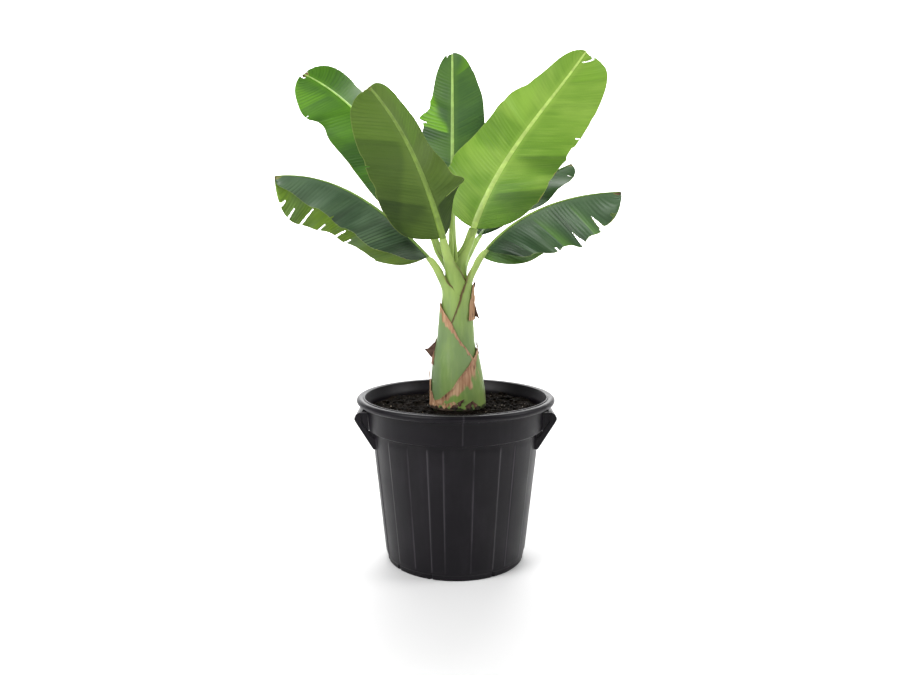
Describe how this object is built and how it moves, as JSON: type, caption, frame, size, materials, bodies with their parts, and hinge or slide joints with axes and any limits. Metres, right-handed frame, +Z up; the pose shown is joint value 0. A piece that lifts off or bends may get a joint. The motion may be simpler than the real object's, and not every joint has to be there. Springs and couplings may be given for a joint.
{
  "type": "potted banana plant",
  "caption": "Young banana plant with broad green blades on a stout sheathed stem, in a round black pot with two side handles.",
  "frame": {"origin": "middle of the pot's flat underside, on the floor", "axes": "+Z up along the stem, the front of the plant faces -Y, the pot's two handles lie on the X axis"},
  "size_m": [0.6654, 0.4942, 1.0511],
  "materials": {
    "black_plastic": "satin moulded black",
    "potting_soil": "rough, moist and crumbly",
    "stem_sheath": "smooth green sheaths with dry brown edges",
    "stalk_green": "waxy",
    "leaf_green": "satin, pleated between the side veins"
  },
  "bodies": {
    "root": {"pot": "black_plastic", "handle_left": "black_plastic", "handle_right": "black_plastic", "soil": "potting_soil", "pseudostem": "stem_sheath", "stalk_front_left": "stalk_green", "stalk_high_right": "stalk_green", "stalk_top": "stalk_green", "stalk_back_left": "stalk_green", "stalk_low_left": "stalk_green", "stalk_low_right": "stalk_green", "stalk_back_right": "stalk_green", "spear_leaf": "stalk_green", "leaf_front_left": "leaf_green", "leaf_high_right": "leaf_green", "leaf_top": "leaf_green", "leaf_back_left": "leaf_green", "leaf_low_left": "leaf_green", "leaf_low_right": "leaf_green", "leaf_back_right": "leaf_green"}
  },
  "joints": []
}
